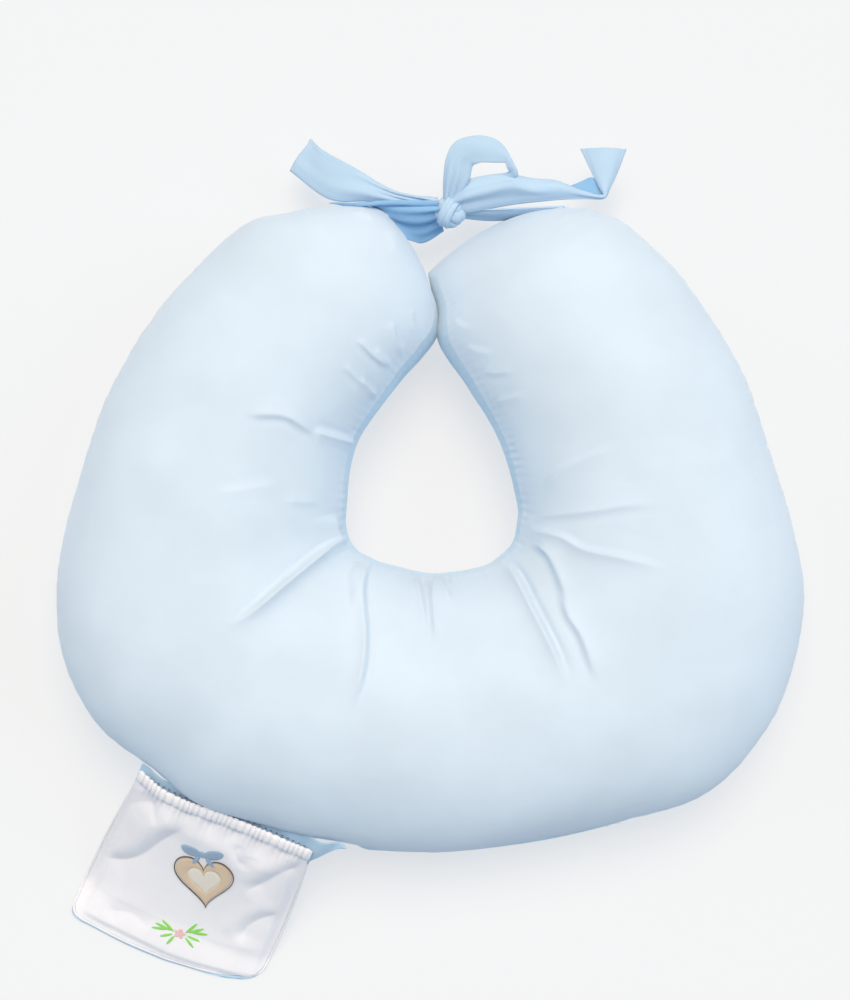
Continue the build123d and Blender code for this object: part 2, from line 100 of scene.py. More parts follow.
# Creases in the cover, in plan: points, depth, half width, height of the roll beside it and the
# side that the roll is on.
CREASES = [
    ([(-142, 112), (-114, 112), (-98, 103), (-86, 94)], 2.8, 2.6, 0.5, -1),
    ([(-92, 101), (-77, 96), (-61, 92), (-56, 93)], 3.6, 2.8, 0.7, 1),
    ([(-77, 36), (-74, 20), (-66, 6)], 5.0, 3.4, 0.3, 1),
    ([(-66, 13), (-75, 12), (-88, 2), (-114, -20), (-141, -43), (-158, -52)], 8.0, 2.7, 0.5, -1),
    ([(-56, -2), (-60, -17), (-58, -40)], 4.2, 2.4, 0.6, -1),
    ([(-48, -2), (-53, -23), (-50, -56), (-52, -86), (-61, -116)], 5.2, 2.4, 1.3, 1),
    ([(-11, -12), (-6, -34), (-2, -57)], 3.4, 2.3, 0.6, 1),
    ([(2, -13), (3, -42), (6, -66)], 3.0, 2.2, 0.6, -1),
    ([(8, -12), (12, -23), (19, -37)], 2.6, 2.2, 0.6, 1),
    ([(54, -2), (66, -12), (80, -39), (96, -71), (106, -98)], 4.4, 2.6, 2.4, 1),
    ([(80, 14), (94, 4), (103, -18), (107, -38)], 4.2, 3.2, 0.5, -1),
    ([(103, -24), (108, -44), (118, -60), (130, -96)], 3.8, 2.8, 0.9, -1),
    ([(74, 23), (102, 18), (120, 8), (152, 1), (188, -8)], 3.2, 2.4, 0.3, 1),
    ([(80, 32), (128, 38), (152, 42), (180, 44)], 1.8, 3.0, 0.6, -1),
    ([(86, 54), (104, 70), (128, 81), (150, 90)], 1.8, 3.2, 0.5, 1),
    ([(-166, 50), (-140, 55), (-112, 60)], 1.2, 4.0, 0.6, 1),
    ([(-112, 47), (-100, 45), (-84, 45)], 1.2, 3.4, 0.6, -1),
    ([(-30, 187), (-27, 172), (-20, 160)], 1.9, 2.1, 0.7, 1),
    ([(-58, 173), (-45, 160), (-31, 150)], 2.0, 2.1, 0.7, -1),
    ([(-42, 167), (-37, 158), (-30, 152)], 1.4, 2.1, 0.7, 1),
    ([(-55, 142), (-48, 134), (-41, 128)], 2.0, 2.2, 0.7, 1),
    ([(-68, 152), (-57, 141), (-48, 135)], 1.2, 2.2, 0.7, -1),
    ([(-14, 198), (-13, 186), (-8, 177)], 1.1, 2.1, 0.6, 1),
    ([(-30, 262), (-29, 250), (-27, 238)], 1.1, 3.0, 0.6, -1),
    ([(-60, 275), (-50, 272), (-43, 266)], 1.5, 2.8, 0.2, -1),
    ([(17, 190), (24, 184), (33, 180)], 0.9, 2.4, 0.7, 1),
    ([(28, 168), (38, 163), (50, 161)], 0.9, 2.4, 0.7, 1),
    ([(42, 148), (52, 146), (66, 147)], 0.9, 2.4, 0.7, -1),
    ([(52, 124), (62, 126), (76, 129)], 0.8, 2.6, 0.7, 1),
    ([(104, 282), (106, 276), (110, 266)], 1.4, 2.8, 0.6, 1),
    ([(122, 281), (123, 276), (127, 266)], 1.2, 2.8, 0.6, -1),
    ([(-232, 70), (-210, 74), (-180, 82)], 0.7, 7.0, 0.6, 1),
    ([(200, 70), (226, 78), (250, 92)], 0.7, 7.0, 0.6, 1),
]
CREASE_REACH = 5  # how many half widths away a crease still moves the cloth
CREASE_START, CREASE_END = 0.22, 0.35  # shares of its length over which it fades in and out

# The zip along the pillow's outside, as in the CAD: an arc about a centre, heights, and degrees
# along the arc.
ARC_CENTRE = np.array((-10.0, 336.0))
ARC_R = 570
ARC_HALF_WIDTH, ARC_HALF_HEIGHT, ARC_MIDDLE_Z = 115, 80, 70
ZIP_Z, ZIP_START, ZIP_END = 46, -4, 17
ZIP_RISE, ZIP_EDGE_RISE, ZIP_HALF = 4.2, 1.6, 12
ZIP_FADE = 1.6  # degrees over which the cover comes out to meet the zip
ZIP_BEHIND = 0.35  # how far the cover is behind the tapes
TOOTH_PITCH, TOOTH_REACH, TOOTH_CROSSING = 2.0, 3.4, 0.55
TOOTH_INNER, TOOTH_OUTER = -0.5, 1.4  # faces of the teeth, from the tapes' inner face

# The pouch's hinge frame, as in the CAD.
HINGE = np.array((-167.10, -213.18, 70.0))
MOUTH = np.array((0.91409, -0.40552, 0.0))
NORMAL = np.array((-0.22382, -0.50452, 0.83389))
UP_SLOPE = np.cross(NORMAL, MOUTH)
MOUTH_WIDTH, END_FLARE = 150, 13
POUCH_SAG = 8  # how far the cloth sags below the straight line from its seam to its end
POUCH_DROP = 150
POUCH_REST = 1.6  # height of the cloth where it rests on the floor
REST_ROUND = math.sqrt(6)  # how softly it comes down to rest
LEFT_SHORTER, RIGHT_SHORTER = 3, 14  # than in the middle
LEFT_CORNER, RIGHT_CORNER = 12.0, 19.0  # radii
POUCH_PUFF = 9.0  # how far the front stands off the back
RIPPLE, LONG_RIPPLE, LONG_PITCH = 1.3, 1.3, 21  # below the mouth: heights, and the longer's pitch
BAND_HALF_HEIGHT, BAND_HALF_DEPTH = 5.6, 3.1
EDGE_RADII = 1.1, 1.0  # of the roll round the edge, along the cloth and off it


# -------- helpers
def spline(points, count):
    """A smooth run of count points through the given rows, by Catmull-Rom."""
    points = np.asarray(points, float)
    padded = np.vstack([2 * points[0] - points[1], points, 2 * points[-1] - points[-2]])
    t = np.linspace(0, len(points) - 1, count)
    k = np.minimum(t.astype(int), len(points) - 2)
    f = (t - k)[:, None]
    a, b, c, d = padded[k], padded[k + 1], padded[k + 2], padded[k + 3]
    squared, cubed = 2 * a - 5 * b + 4 * c - d, 3 * b - a - 3 * c + d
    return 0.5 * (2 * b + (c - a) * f + squared * f**2 + cubed * f**3)


def smooth(x):
    """A smooth step from 0 to 1."""
    x = np.clip(x, 0, 1)
    return x * x * (3 - 2 * x)


def hump(x, width):
    """1 at the middle, falling away to each side."""
    return np.exp(-((x / width) ** 2))


def run_along(line):
    """Length along a line up to each of its points."""
    return np.concatenate([[0], np.cumsum(np.linalg.norm(np.diff(line, axis=0), axis=1))])


def turned(points, angle):
    """Points in plan or in space, turned about Z by an angle."""
    result = np.array(points, float)
    c, s = math.cos(angle), math.sin(angle)
    result[..., 0] = points[..., 0] * c - points[..., 1] * s
    result[..., 1] = points[..., 0] * s + points[..., 1] * c
    return result


def waves(points, size, seed, octaves):
    """Seeded smooth noise, about -1 to 1, at each of an array of points."""
    flat = np.asarray(points, float).reshape(-1, points.shape[-1])
    shift = Vector((seed * 17.3, seed * 5.1, seed * 9.7))
    values = [noise.fractal(Vector(p) / size + shift, 1.0, 2.0, octaves) for p in flat]
    return np.array(values).reshape(points.shape[:-1])


def grid_normals(grid, closed=False):
    """Unit normals of a grid of points, whose columns may close into rings."""
    along = np.gradient(grid, axis=0)
    if closed:
        across = (np.roll(grid, -1, axis=1) - np.roll(grid, 1, axis=1)) / 2
    else:
        across = np.gradient(grid, axis=1)
    normal = np.cross(along, across)
    return normal / np.maximum(np.linalg.norm(normal, axis=2, keepdims=True), 1e-9)


def mesh_from(name, points, faces, uvs=None):
    """A smooth-shaded object from points in millimetres."""
    mesh = bpy.data.meshes.new(name)
    mesh.from_pydata((np.asarray(points, float).reshape(-1, 3) * MM).tolist(), [], faces)
    mesh.polygons.foreach_set("use_smooth", [True] * len(mesh.polygons))
    if uvs is not None:
        layer = mesh.uv_layers.new(name="UVMap")
        index = np.empty(len(mesh.loops), int)
        mesh.loops.foreach_get("vertex_index", index)
        layer.data.foreach_set("uv", (np.asarray(uvs, float).reshape(-1, 2)[index] * MM).ravel())
    mesh.update()
    piece = bpy.data.objects.new(name, mesh)
    bpy.context.scene.collection.objects.link(piece)
    return piece


def grid_faces(rows, columns):
    """The four corners of each face between rows and columns of points."""
    r, c = np.meshgrid(np.arange(rows - 1), np.arange(columns - 1), indexing="ij")
    here = (r * columns + c).ravel()
    return np.stack([here, here + columns, here + columns + 1, here + 1], axis=1).tolist()


def grid_piece(name, grid, flip=False):
    """A grid of points as a mesh, with a UV map in real lengths."""
    rows, columns = grid.shape[:2]
    faces = grid_faces(rows, columns)
    if flip:
        faces = [face[::-1] for face in faces]
    across = np.linalg.norm(np.diff(grid, axis=1), axis=2)
    along = np.linalg.norm(np.diff(grid, axis=0), axis=2)
    u = np.concatenate([np.zeros((rows, 1)), np.cumsum(across, axis=1)], axis=1)
    v = np.concatenate([[0], np.cumsum(along.mean(axis=1))])[:, None] + np.zeros((1, columns))
    return mesh_from(name, grid, faces, np.stack([u, v], axis=2))


def thicken(piece, thickness):
    """Half the thickness on each side of the mesh."""
    solid = piece.modifiers.new("thickness", "SOLIDIFY")
    solid.thickness = thickness * MM
    solid.offset = 0.0
    solid.use_even_offset = False


def polyline_distance(plan, line):
    """Distance, signed side and share of the length along a smooth line, for points in plan."""
    fine = spline(line, 6 * len(line))
    best = np.full(plan.shape[:-1], 1e9)
    side = np.ones(plan.shape[:-1])
    share = np.zeros(plan.shape[:-1])
    run = run_along(fine)
    steps = np.diff(run)
    for k in range(len(fine) - 1):
        way = (fine[k + 1] - fine[k]) / steps[k]
        rel = plan - fine[k]
        t = np.clip(rel @ way, 0, steps[k])
        away = rel - t[..., None] * way
        distance = np.linalg.norm(away, axis=-1)
        nearer = distance < best
        best = np.where(nearer, distance, best)
        turn = way[0] * rel[..., 1] - way[1] * rel[..., 0]
        side = np.where(nearer, np.sign(turn), side)
        share = np.where(nearer, (run[k] + t) / run[-1], share)
    return best, side, share


def fold(distance, side, depth, width, roll):
    """A fold's profile: a sharp valley, steep beside its roll and with a long slope opposite."""
    steep = np.exp(-((distance / width) ** 1.4))
    gentle = np.exp(-((distance / (2.2 * width)) ** 1.15))
    beside = np.where(side > 0, distance, -distance)
    raised = 0.35 * roll * hump(beside - 1.9 * width, 1.2 * width)
    return depth * (raised - np.where(side > 0, steep, gentle))


# -------- the stuffed tube
def tube(rows, top, bottom, depth=0.0):
    """Closed rings of points round the pillow: outer seam, over the top, inner seam, underneath."""
    table = spline(SECTIONS, rows * 3)
    middle = (table[:, 0:2] + table[:, 2:4]) / 2
    run = run_along(middle)
    share = np.linspace(0, 1, rows)
    share = share - TIP_CROWDING * np.sin(2 * math.pi * share)
    table = np.stack([np.interp(share * run[-1], run, values) for values in table.T], axis=1)
    inner, outer = table[:, 0:2], table[:, 2:4]
    middle = (inner + outer) / 2
    across = outer - inner
    half_width = np.linalg.norm(across, axis=1)[:, None] / 2 - depth
    across = across / np.linalg.norm(across, axis=1)[:, None]
    from_tip = np.minimum(share, 1 - share)[:, None] * run[-1]
    into_nose = np.clip(1 - from_tip / NOSE, 0, 1)
    nose = np.sqrt(1 - into_nose**2)
    half_height = np.maximum(table[:, 4:5] * nose - depth, 0.5)
    centre_z = table[:, 5:6]
    # Where the rings get low near the tips, each seam keeps near their middle.
    rise = np.clip((OUTER_SEAM_Z - centre_z) / half_height, -OUTER_SEAM_MOST, OUTER_SEAM_MOST)
    outer_seam = np.arcsin(rise)
    rise = np.clip((INNER_SEAM_Z - centre_z) / half_height, -INNER_SEAM_MOST, INNER_SEAM_MOST)
    inner_seam = math.pi - np.arcsin(rise)
    t = np.linspace(0, 1, top, endpoint=False)[None, :]
    over = outer_seam + (inner_seam - outer_seam) * t
    t = np.linspace(0, 1, bottom, endpoint=False)[None, :]
    under = inner_seam + (2 * math.pi + outer_seam - inner_seam) * t
    turn = np.concatenate([over, under], axis=1)
    flat = middle[:, None, :] + across[:, None, :] * (half_width * np.cos(turn))[..., None]
    onward = np.stack([-across[:, 1], across[:, 0]], axis=1)
    bulge = TIP_BULGE * into_nose**2
    bulge[: rows // 2] *= FIRST_TIP_BULGE
    flat = flat + onward[:, None, :] * (bulge * (1 - np.cos(turn) ** 2))[..., None]
    z = centre_z + half_height * np.sin(turn) - depth
    resting = 0.5 * (z + np.sqrt(z * z + FLOOR_ROUND**2)) + depth
    grid = np.concatenate([flat, (resting - FLOOR_PRESS)[..., None]], axis=2)
    # The last ring at each tip closes on its own middle line.
    for end in (0, -1):
        grid[end, :, 2] = centre_z[end, 0]
    return grid


def creased(grid, top):
    """The tube's rings with the cloth's creases, seams and gathers worked into them."""
    normal = -grid_normals(grid, closed=True)
    columns = grid.shape[1]

    # Distances round each ring from the inner seam and from the outer one.
    step = np.linalg.norm(np.roll(grid, -1, axis=1) - grid, axis=2)
    girth = np.concatenate([np.zeros((len(grid), 1)), np.cumsum(step, axis=1)[:, :-1]], axis=1)
    total = step.sum(axis=1)[:, None]
    from_inner = np.abs(girth - girth[:, top : top + 1])
    from_outer = np.minimum(girth, total - girth)
    top_side = np.arange(columns)[None, :] <= top

    # Slow unevenness of the filling, worked out at every fourth point.
    lumps = waves(grid[::4, ::4], LUMP_SIZE, seed=3, octaves=3)
    push = LUMP_HEIGHT * resample(lumps, np.arange(len(grid)) / 4, np.arange(columns) / 4)

    # Gathers where the panels are sewn: strong round the tight waist, slight outside.
    run_inner = run_along(grid[:, top])
    run_outer = run_along(grid[:, 0])
    pucker_in = gathers(run_inner, WAIST_PITCH, seed=11)
    pucker_out = gathers(run_outer, OUTER_PITCH, seed=23)
    tight = gathers_strength(run_inner)
    ends = smooth(np.minimum(run_inner, run_inner[-1] - run_inner) / CALM_TIPS)[:, None]
    beside_seam = np.exp(-from_inner / WAIST_REACH) * smooth(from_inner / 2.5 + 0.2)
    push += WAIST_HEIGHT * tight * ends * pucker_in * beside_seam
    push += OUTER_HEIGHT * pucker_out * np.exp(-from_outer / OUTER_REACH)

    # The grooves of the two seams themselves.
    push -= WAIST_GROOVE * ends * hump(from_inner, WAIST_GROOVE_WIDTH)
    push -= OUTER_GROOVE * hump(from_outer, OUTER_GROOVE_WIDTH)

    # The creases seen from above.
    above = top_side & (grid[..., 2] > OUTER_SEAM_Z - 8)
    plan = grid[..., :2]
    for line, depth, width, roll, roll_side in CREASES:
        low = np.min(line, axis=0) - CREASE_REACH * width
        high = np.max(line, axis=0) + CREASE_REACH * width
        near = above & np.all((plan > low) & (plan < high), axis=-1)
        if not near.any():
            continue
        distance, side, share = polyline_distance(plan[near], line)
        fade = smooth(share / CREASE_START) * smooth((1 - share) / CREASE_END)
        push[near] += fade * fold(distance, side * roll_side, depth, width, roll)

    moved = grid + normal * push[..., None]
    moved[..., 2] = np.maximum(moved[..., 2], LOWEST)
    # The end rings stay closed.
    for end in (0, -1):
        moved[end] = grid[end]

    # The cover stands out to meet the zip's tapes, just behind their inner face.
    rel = moved[..., :2] - ARC_CENTRE
    radius = np.linalg.norm(rel, axis=-1)
    degrees = np.degrees(np.arctan2(rel[..., 0], -rel[..., 1]))
    up = moved[..., 2] - ZIP_Z
    outside = (radius > ARC_R - 50) & (moved[..., 1] < -100)
    inside_start = smooth((degrees - ZIP_START + ZIP_FADE) / ZIP_FADE)
    inside_end = inside_start * smooth((ZIP_END + ZIP_FADE - degrees) / ZIP_FADE)
    inside_height = smooth((ZIP_HALF + 10 - np.abs(up)) / 9)
    hold = np.where(outside, inside_end * inside_height, 0)
    target = zip_radius(up) - ZIP_BEHIND
    new_radius = radius + (target - radius) * hold
    moved[..., :2] = ARC_CENTRE + rel * (new_radius / radius)[..., None]
    return moved


def resample(values, rows_at, columns_at):
    """Bilinear values between the samples of a coarse grid, wrapping across the columns."""
    rows, columns = values.shape
    r = np.minimum(rows_at.astype(int), rows - 2)
    fr = np.clip(rows_at - r, 0, 1)[:, None]
    c = columns_at.astype(int) % columns
    fc = (columns_at - columns_at.astype(int))[None, :]
    c2 = (c + 1) % columns
    first = values[r][:, c] * (1 - fc) + values[r][:, c2] * fc
    second = values[r + 1][:, c] * (1 - fc) + values[r + 1][:, c2] * fc
    return first * (1 - fr) + second * fr


def gathers(run, pitch, seed):
    """Uneven ripples along a seam, about -1 to 1."""
    samples = np.stack([run, np.zeros_like(run), np.zeros_like(run)], axis=1)
    drift = waves(samples, size=60.0, seed=seed, octaves=1)
    size = waves(samples, size=25.0, seed=seed + 1, octaves=1)
    return (np.sin(2 * math.pi * run / pitch + 5 * drift) * (0.65 + 0.7 * size))[:, None]


def gathers_strength(run):
    """Full round the tight waist, and half towards the tips."""
    share = run / run[-1]
    return (0.55 + 0.45 * smooth((share - 0.12) / 0.2) * smooth((0.88 - share) / 0.2))[:, None]


def flank_radius(z):
    """Radius of the CAD's outside about the zip's arc centre, at a height."""
    share = np.clip((z - ARC_MIDDLE_Z) / ARC_HALF_HEIGHT, -1, 1)
    return ARC_R - ARC_HALF_WIDTH * (1 - np.sqrt(1 - share * share))


ZIP_LEAN = (flank_radius(ZIP_Z + 5) - flank_radius(ZIP_Z - 5)) / 10


def zip_radius(up):
    """Radius of the zip tapes' inner face about the arc's centre, at a height above its middle."""
    share = np.minimum(1, np.abs(up) / ZIP_HALF)
    return flank_radius(ZIP_Z) + up * ZIP_LEAN + ZIP_RISE + (ZIP_EDGE_RISE - ZIP_RISE) * share


# -------- materials
def new_material(name):
    """A material that uses nodes, with its nodes and links."""
    material = bpy.data.materials.new(name)
    material.use_nodes = True
    return material, material.node_tree.nodes, material.node_tree.links


def put(node, **values):
    """Sets a node's inputs by their names, with underscores for spaces."""
    for name, value in values.items():
        node.inputs[name.replace("_", " ")].default_value = value


def bands(nodes, links, where, direction, pitch, distortion, detail):
    """Stripes about pitch millimetres apart, as threads lie."""
    threads = nodes.new("ShaderNodeTexWave")
    threads.bands_direction = direction
    put(threads, Scale=1 / (math.pi * pitch * MM), Distortion=distortion, Detail=detail)
    links.new(where, threads.inputs["Vector"])
    return threads.outputs["Fac"]


def two_tone(nodes, links, amount, colour, darker, lighter):
    """A ramp from a darker to a lighter form of a colour."""
    ramp = nodes.new("ShaderNodeValToRGB")
    ramp.color_ramp.elements[0].color = [c * darker for c in colour] + [1]
    ramp.color_ramp.elements[1].color = [min(1, c * lighter) for c in colour] + [1]
    links.new(amount, ramp.inputs["Fac"])
    return ramp


def relief(nodes, links, amount, strength, distance, shader):
    """Raised and sunk parts of a surface, by a distance in millimetres."""
    bump = nodes.new("ShaderNodeBump")
    put(bump, Strength=strength, Distance=distance * MM)
    links.new(amount, bump.inputs["Height"])
    links.new(bump.outputs["Normal"], shader.inputs["Normal"])


def speckle(nodes, links, place, scale, detail):
    """Noise that is fixed to the object."""
    noisy = nodes.new("ShaderNodeTexNoise")
    put(noisy, Scale=scale, Detail=detail)
    links.new(place.outputs["Object"], noisy.inputs["Vector"])
    return noisy.outputs["Fac"]


def cloth(name, colour, thread=0.55, weave=0.35, grain=0.24, uv=True):
    """Plain-woven cloth: crossing threads, fuzz, a slight unevenness of colour and a soft sheen."""
    material, nodes, links = new_material(name)
    shader = nodes["Principled BSDF"]
    put(shader, Roughness=0.9, Specular_IOR_Level=0.2, Sheen_Weight=0.25, Sheen_Roughness=0.5)
    place = nodes.new("ShaderNodeTexCoord")
    where = place.outputs["UV" if uv else "Object"]
    crossing = nodes.new("ShaderNodeMath")
    crossing.operation = "MULTIPLY"
    for k, direction in enumerate(("X", "Y")):
        threads = bands(nodes, links, where, direction, thread, distortion=0.6, detail=1.0)
        links.new(threads, crossing.inputs[k])
    height = nodes.new("ShaderNodeMath")
    height.operation = "MULTIPLY_ADD"
    links.new(speckle(nodes, links, place, scale=420, detail=3), height.inputs[0])
    height.inputs[1].default_value = 0.9
    links.new(crossing.outputs[0], height.inputs[2])
    relief(nodes, links, height.outputs[0], weave, grain, shader)
    cloud = speckle(nodes, links, place, scale=14, detail=4)
    ramp = two_tone(nodes, links, cloud, colour, darker=0.965, lighter=1.035)
    ramp.color_ramp.elements[0].position = 0.3
    ramp.color_ramp.elements[1].position = 0.7
    mix = nodes.new("ShaderNodeMix")
    mix.data_type = "RGBA"
    mix.blend_type = "MULTIPLY"
    put(mix, Factor=0.12)
    links.new(ramp.outputs["Color"], mix.inputs["A"])
    links.new(crossing.outputs[0], mix.inputs["B"])
    links.new(mix.outputs["Result"], shader.inputs["Base Color"])
    return material


def stitched(name, colour):
    """Embroidery: raised parallel threads with a slight gloss."""
    material, nodes, links = new_material(name)
    shader = nodes["Principled BSDF"]
    put(shader, Roughness=0.55, Sheen_Weight=0.3)
    where = nodes.new("ShaderNodeTexCoord").outputs["UV"]
    threads = bands(nodes, links, where, "DIAGONAL", 0.5, distortion=1.2, detail=2)
    relief(nodes, links, threads, 0.8, 0.3, shader)
    ramp = two_tone(nodes, links, threads, colour, darker=0.72, lighter=1.08)
    links.new(ramp.outputs["Color"], shader.inputs["Base Color"])
    return material


def plastic(name, colour):
    """Moulded plastic with a faint uneven gloss."""
    material, nodes, links = new_material(name)
    shader = nodes["Principled BSDF"]
    grain = speckle(nodes, links, nodes.new("ShaderNodeTexCoord"), scale=900, detail=2)
    gloss = nodes.new("ShaderNodeMapRange")
    put(gloss, To_Min=0.27, To_Max=0.47)
    links.new(grain, gloss.inputs["Value"])
    links.new(gloss.outputs["Result"], shader.inputs["Roughness"])
    tint = two_tone(nodes, links, grain, colour, darker=0.95, lighter=1.04)
    links.new(tint.outputs["Color"], shader.inputs["Base Color"])
    relief(nodes, links, grain, 0.15, 0.1, shader)
    return material


cover_cloth = cloth("cover_cloth", (0.66, 0.785, 0.92))
# A bluer copy of the cover's cloth: painted shade for the underside and the waist, which are the
# same cloth as the top.
painted_shade_under_cloth = cloth("painted_shade_under_cloth", (0.625, 0.80, 0.95))
tie_cloth = cloth("tie_cloth", (0.49, 0.675, 0.88))
# A deeper blue copy of the ties' cloth: painted shade for the left strap's shaded lower side and the
# right tail's turned-back end.
painted_shade_strap_cloth = cloth("painted_shade_strap_cloth", (0.27, 0.51, 0.80))
pouch_blue = cloth("pouch_blue_cloth", (0.45, 0.66, 0.87))
pouch_white = cloth("pouch_white_cloth", (0.88, 0.895, 0.975))
casing_cloth = cloth("casing_cloth", (0.82, 0.82, 0.80), thread=0.7)
fibre = cloth("fibre", (0.88, 0.88, 0.88), thread=4, weave=0.8, grain=4.0, uv=False)
elastic_cloth = cloth("elastic_cloth", (0.85, 0.85, 0.85), thread=1.0, weave=0.8)
tape_cloth = cloth("tape_cloth", (0.62, 0.76, 0.90), thread=0.9, weave=0.7, uv=False)
zip_plastic = plastic("zip_plastic", (0.72, 0.78, 0.84))


def repaint(piece, material):
    """The one material on a piece."""
    piece.data.materials.clear()
    piece.data.materials.append(material)


def finish(piece, material):
    """A built piece's material."""
    repaint(piece, material)


def finish_padded(piece, material, node):
    """The same for a stuffed piece of the pillow that replaces a CAD node."""
    finish(piece, material)
    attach(piece, "pillow")
    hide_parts(node)


# -------- the cover and what it holds
def panels(rings, top, names):
    """The top and bottom panels between the seams of a tube of rings."""
    closed = np.concatenate([rings, rings[:, :1]], axis=1)
    return grid_piece(names[0], closed[:, : top + 1]), grid_piece(names[1], closed[:, top:])


rings = creased(tube(ROWS, TOP_COLUMNS, BOTTOM_COLUMNS), TOP_COLUMNS)
cover_top, cover_bottom = panels(rings, TOP_COLUMNS, ("cover_top", "cover_bottom"))
finish_padded(cover_top, cover_cloth, "cover_top_panel")
# The bottom panel takes the bluer copy of the cover's cloth, as painted shade.
finish_padded(cover_bottom, painted_shade_under_cloth, "cover_bottom_panel")

rings = tube(INSIDE_ROWS, INSIDE_TOP, INSIDE_BOTTOM, CASING_DEPTH)
casing_top, casing_bottom = panels(rings, INSIDE_TOP, ("casing_top", "casing_bottom"))
finish_padded(casing_top, casing_cloth, "casing_top_panel")
finish_padded(casing_bottom, casing_cloth, "casing_bottom_panel")

rings = tube(INSIDE_ROWS, INSIDE_TOP, INSIDE_BOTTOM, FILLING_DEPTH)
filling = grid_piece("filling", np.concatenate([rings, rings[:, :1]], axis=1))
finish_padded(filling, fibre, "fibre_filling")


# -------- the zip
def arc_point(degrees, radius, z):
    """A point by its angle along the zip's arc, its distance from the centre and its height."""
    turn = math.radians(degrees)
    x, y = ARC_CENTRE + radius * np.array((math.sin(turn), -math.cos(turn)))
    return np.array((x, y, z))


BOX_FACES = ((0, 1, 3, 2), (4, 6, 7, 5), (0, 4, 5, 1), (2, 3, 7, 6), (0, 2, 6, 4), (1, 5, 7, 3))


def zip_teeth(name, side):
    """A row of separate teeth, each reaching across the middle between two of the other row's."""
    points, faces = [], []
    pitch = math.degrees(TOOTH_PITCH / ARC_R)
    end_gap, half = 0.4, pitch * 0.21
    root, tip = TOOTH_REACH * side, -TOOTH_CROSSING * side
    for k in range(int((ZIP_END - ZIP_START - 2 * end_gap) / pitch)):
        at = ZIP_START + end_gap + pitch * (k + (0.5 if side < 0 else 0.25))
        base = len(points)
        for out in (TOOTH_INNER, TOOTH_OUTER):
            for up, wide in ((root, 0.75), (tip, 1.0)):
                radius = zip_radius(0.0) + up * ZIP_LEAN + out
                for sign in (-1, 1):
                    points.append(arc_point(at + sign * half * wide, radius, ZIP_Z + up))
        for face in BOX_FACES:
            faces.append([base + corner for corner in face])
    piece = mesh_from(name, np.array(points), faces)
    edge = piece.modifiers.new("edge", "BEVEL")
    edge.width = 0.18 * MM
    edge.segments = 2
    return piece


for name, node, side in (
    ("zip_teeth_up", "zip_teeth_upper", 1),
    ("zip_teeth_down", "zip_teeth_lower", -1),
):
    row = zip_teeth(name, side)
    finish(row, zip_plastic)
    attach(row, "pillow")
    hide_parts(node)
for node in ("zip_tape_upper", "zip_tape_lower"):
    repaint(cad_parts[node], tape_cloth)
for node in ("zip_slider", "zip_pull", "zip_top_stop", "zip_bottom_stop"):
    repaint(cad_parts[node], zip_plastic)


# -------- the pouch
def on_pouch(x, y, z):
    """A point of the pouch's own frame: x along the mouth, y up the slope, z off the cloth. The
    cloth sags between its seam and its end, which rests on the floor."""
    x, y, z = np.asarray(x, float), np.asarray(y, float), np.asarray(z, float)
    sag = POUCH_SAG * np.sin(math.pi * np.clip(-y / POUCH_DROP, 0, 1))
    point = HINGE + x[..., None] * MOUTH + y[..., None] * UP_SLOPE - sag[..., None] * NORMAL
    above = point[..., 2] - POUCH_REST
    point[..., 2] = POUCH_REST + 0.5 * (above + np.sqrt(above**2 + REST_ROUND**2))
    return point + z[..., None] * NORMAL


def swing_with(piece):
    """Bakes the piece's placement into its mesh."""
    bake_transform(piece)


def along_mouth(heights):
    """A smooth function of x along the mouth, from its values at even steps."""
    fine = spline(np.array(heights, float)[:, None], 81)[:, 0]
    places = np.linspace(-MOUTH_WIDTH / 2, MOUTH_WIDTH / 2, len(fine))
    return lambda x: np.interp(x, places, fine)


# Heights of the mouth band and of the seam on the cover, from the left end to the right.
band_line = along_mouth([15.5, 9.2, 7.4, 8.6, 10.4, 11.6, 12.2, 12.0, 11.0])
seam_line = along_mouth([24.0, 18.5, 16.0, 16.5, 18.5, 20.0, 21.5, 24.0, 28.0])


def pouch_half_width(down):
    """Half the width, at a distance down the slope."""
    return (MOUTH_WIDTH + END_FLARE * down / POUCH_DROP) / 2


def pouch_drop(s):
    """How far down the slope the pouch's end is, for a share across from -1 to 1."""
    middle = POUCH_DROP + 4
    return middle - LEFT_SHORTER * np.clip(-s, 0, 1) - RIGHT_SHORTER * np.clip(s, 0, 1) ** 1.5


def pouch_plan(s, t, grow=0.0):
    """x and y on the pouch for shares across, -1 to 1, and down, 0 to 1, with rounded corners,
    and sides and an end that are a little uneven."""
    drop = pouch_drop(s)
    down = t * (drop + grow)
    half = pouch_half_width(down) + grow
    corner = np.where(s > 0, RIGHT_CORNER, LEFT_CORNER)
    over = np.clip((down - (drop + grow - corner)) / corner, 0, 1)
    half = half - corner * (1 - np.sqrt(np.maximum(1 - over * over, 0)))
    slack = 2.2 * np.sin(s * 4.1 + 0.8) * t * (1 - np.abs(s) ** 3)
    bow = 2.6 * np.sin(math.pi * np.clip(t, 0, 1)) * np.sign(s) * np.abs(s) ** 3
    return s * half + bow - 3 * np.abs(s) * np.clip(t, 0, 1), -down + slack * 0.6


